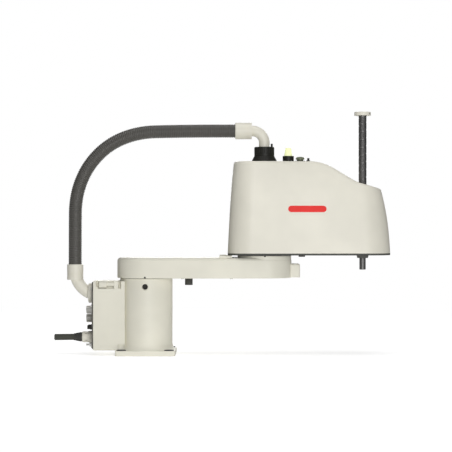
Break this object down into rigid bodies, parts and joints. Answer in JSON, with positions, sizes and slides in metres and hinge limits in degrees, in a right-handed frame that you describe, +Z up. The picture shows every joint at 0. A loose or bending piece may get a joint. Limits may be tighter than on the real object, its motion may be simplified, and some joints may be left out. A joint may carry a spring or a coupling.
{
  "type": "scara robot arm",
  "caption": "Bench-mounted SCARA robot arm with a hollow column, two horizontal links, a ball screw spline quill and an external hose.",
  "frame": {"origin": "on the first axis, at the face that the foot stands on, in the middle of the four foot bolts", "axes": "+Z up along the first axis, +X from the first axis along both links to the quill, +Y to the side"},
  "size_m": [0.8531, 0.16, 0.615],
  "materials": {
    "cream_casting": "satin warm off-white paint on cast aluminium",
    "cream_plastic": "satin warm off-white moulded plastic",
    "panel_paint": "satin dark grey painted plate",
    "dark_paint": "dark grey painted plate",
    "hose_plastic": "dark grey corrugated polyamide",
    "cable_jacket": "dark grey cable jacket",
    "connector_metal": "nickel plated shell",
    "black_plastic": "black moulded plastic",
    "green_plastic": "dark green push button",
    "lamp_lens": "pale yellow-green lamp lens",
    "red_enamel": "plain red bar, no mark",
    "plain_steel": "zinc plated screws",
    "ground_steel": "hardened, ground steel",
    "bare_aluminium": "machined aluminium",
    "motor_black": "black painted motor",
    "dark_rubber": "dark buffer rubber",
    "quill_bush": "dark acetal bush",
    "belt_rubber": "black toothed belt",
    "board_green": "green circuit board"
  },
  "bodies": {
    "base": {"base_casting": "cream_casting", "rear_panel": "panel_paint", "rear_panel_screws": "plain_steel", "lower_elbow": "cream_plastic", "lower_cuff": "cream_plastic", "hose": "hose_plastic", "cable_gland": "cream_plastic", "supply_cable": "cable_jacket", "signal_connector": "connector_metal", "power_connector": "connector_metal", "air_fittings": "black_plastic", "j1_stop_bolts": "cream_casting", "j1_motor": "motor_black", "j1_circular_spline": "ground_steel", "j1_bearing_outer": "ground_steel", "j1_seal": "dark_rubber", "terminal_board": "board_green"},
    "arm1": {"arm1_casting": "cream_casting", "arm1_lid": "cream_casting", "arm1_fasteners": "plain_steel", "arm1_cap": "cream_casting", "j1_output_flange": "ground_steel", "j1_stop_pin": "dark_rubber", "j2_stop_buffers": "cream_casting", "j2_output_flange": "ground_steel", "j2_bearing_outer": "ground_steel"},
    "arm2": {"arm2_plate": "dark_paint", "arm2_cover": "cream_plastic", "cover_screws": "plain_steel", "quill_bracket": "bare_aluminium", "quill_seal": "quill_bush", "j2_bearing_inner": "ground_steel", "j2_motor": "motor_black", "j2_stop_pin": "dark_rubber", "j3_motor": "motor_black", "j4_motor": "motor_black", "j4_motor_mount": "bare_aluminium", "j3_belt": "belt_rubber", "j4_belt": "belt_rubber", "quill_bearings": "ground_steel", "lamp_base": "black_plastic", "lamp_dome": "lamp_lens", "brake_button_bezel": "black_plastic", "air_nipple": "black_plastic", "swivel_base": "black_plastic", "badge": "red_enamel"},
    "spline": {"spline_nut": "ground_steel", "spline_pulley": "bare_aluminium"},
    "ball_nut": {"ball_nut": "ground_steel", "ball_nut_pulley": "bare_aluminium"},
    "quill": {"quill": "ground_steel", "quill_collar": "cream_plastic"},
    "j3_pulley": {"j3_motor_pulley": "bare_aluminium"},
    "j4_pulley": {"j4_motor_pulley": "bare_aluminium"},
    "button": {"brake_button": "green_plastic"},
    "swivel": {"swivel_collar": "black_plastic", "upper_elbow": "cream_plastic", "upper_cuff": "cream_plastic"},
    "j1_rotor": {"j1_wave_generator": "ground_steel"},
    "j2_rotor": {"j2_wave_generator": "ground_steel"}
  },
  "joints": [
    {"name": "j1", "type": "hinge", "parent": "base", "child": "arm1", "pos_m": [0, 0, 0.19], "axis": [0, 0, 1], "range_deg": [-140, 140], "deforming": ["hose"]},
    {"name": "j2", "type": "hinge", "parent": "arm1", "child": "arm2", "pos_m": [0.3, 0, 0.25], "axis": [0, 0, -1], "range_deg": [-140, 140]},
    {"name": "j4", "type": "hinge", "parent": "arm2", "child": "spline", "pos_m": [0.55, 0, 0.28], "axis": [0, 0, 1], "range_deg": [-400, 400]},
    {"name": "j3", "type": "slide", "parent": "spline", "child": "quill", "axis": [0, 0, 1], "range_m": [-0.18, 0]},
    {"name": "ball_nut_turn", "type": "hinge", "parent": "spline", "child": "ball_nut", "pos_m": [0.55, 0, 0.36], "axis": [0, 0, 1], "range_deg": [-3241, 1]},
    {"name": "j3_pulley_turn", "type": "hinge", "parent": "arm2", "child": "j3_pulley", "pos_m": [0.455, 0.032, 0.33], "axis": [0, 0, 1], "range_deg": [-8102, 1]},
    {"name": "j4_pulley_turn", "type": "hinge", "parent": "arm2", "child": "j4_pulley", "pos_m": [0.42, -0.03, 0.306], "axis": [0, 0, 1], "range_deg": [-1001, 1001]},
    {"name": "swivel_turn", "type": "hinge", "parent": "arm2", "child": "swivel", "pos_m": [0.3, 0, 0.51], "axis": [0, 0, -1], "range_deg": [-141, 141]},
    {"name": "brake_button_press", "type": "slide", "parent": "arm2", "child": "button", "axis": [0, 0, -1], "range_m": [0, 0.003], "stiffness_N_per_m": 600, "springref_m": -0.002},
    {"name": "j1_rotor_turn", "type": "hinge", "parent": "base", "child": "j1_rotor", "pos_m": [0, 0, 0.15], "axis": [0, 0, 1], "range_deg": [-7001, 7001]},
    {"name": "j2_rotor_turn", "type": "hinge", "parent": "arm2", "child": "j2_rotor", "pos_m": [0.3, 0, 0.237], "axis": [0, 0, -1], "range_deg": [-7001, 7001]}
  ],
  "couplings": [
    {"joint": "ball_nut_turn", "follows": "j3", "rad_per_m": 314.16},
    {"joint": "j3_pulley_turn", "follows": "j3", "rad_per_m": 785.4},
    {"joint": "j4_pulley_turn", "follows": "j4", "ratio": 2.5},
    {"joint": "swivel_turn", "follows": "j2", "ratio": -1},
    {"joint": "j1_rotor_turn", "follows": "j1", "ratio": -50},
    {"joint": "j2_rotor_turn", "follows": "j2", "ratio": -50}
  ]
}
